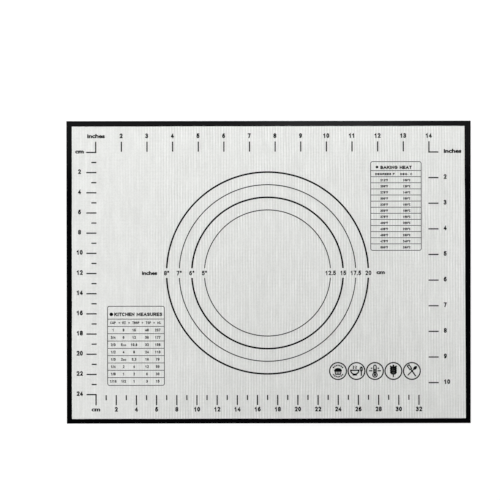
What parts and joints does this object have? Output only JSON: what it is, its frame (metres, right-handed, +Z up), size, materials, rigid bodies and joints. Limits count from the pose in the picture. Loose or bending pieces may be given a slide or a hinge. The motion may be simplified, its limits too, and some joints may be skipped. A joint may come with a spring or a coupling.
{
  "type": "silicone baking mat",
  "caption": "Flat rectangular baking mat: two silicone coats bonded over an open glass cloth, with a sealed dark edge and printed rules, dough circles and conversion tables.",
  "frame": {"origin": "middle of the underside, on the surface that the mat lies on", "axes": "+X to the right along the width, +Y to the far edge, where the inch rule is printed, +Z up out of the printed face"},
  "size_m": [0.4, 0.3, 0.0007],
  "materials": {
    "pale_silicone": "satin, slightly translucent",
    "glass_yarn": "woven glass fibre",
    "black_silicone": "satin",
    "black_ink": "cured silicone ink, satin"
  },
  "bodies": {
    "root": {"base_coat": "pale_silicone", "weft_yarns": "glass_yarn", "warp_yarns": "glass_yarn", "top_coat": "pale_silicone", "edge_band": "black_silicone", "centimetre_rule_left": "black_ink", "centimetre_rule_near": "black_ink", "inch_rule_far": "black_ink", "inch_rule_right": "black_ink", "dough_circle_largest": "black_ink", "dough_circle_large": "black_ink", "dough_circle_small": "black_ink", "dough_circle_smallest": "black_ink", "volume_table": "black_ink", "temperature_table": "black_ink", "badge_rings": "black_ink"}
  },
  "joints": []
}
